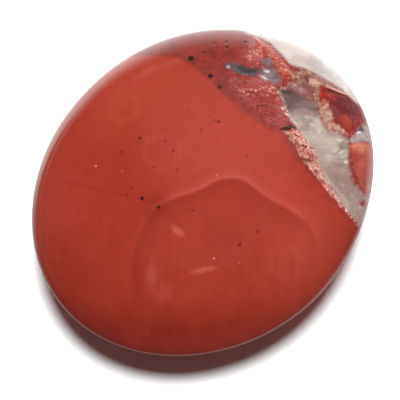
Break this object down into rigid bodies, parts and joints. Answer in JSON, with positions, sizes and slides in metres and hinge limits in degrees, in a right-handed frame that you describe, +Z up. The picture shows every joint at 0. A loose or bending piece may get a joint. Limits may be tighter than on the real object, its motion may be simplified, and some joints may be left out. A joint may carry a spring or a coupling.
{
  "type": "tumbled jasper palm stone",
  "caption": "Flattened egg-shaped polished red stone with a rough, quartz-veined corner, for holding in the palm or setting on a shelf.",
  "frame": {"origin": "on the surface that the stone rests on, below the middle of its box", "axes": "+Z up out of the crown, +Y along the longer side of the box, +X towards the side of the quartz vein"},
  "size_m": [0.045, 0.0488, 0.0136],
  "materials": {
    "jasper": "tumbled to a gloss, with one rough brecciated corner of grainy jasper and quartz"
  },
  "bodies": {
    "root": {"pebble": "jasper"}
  },
  "joints": []
}
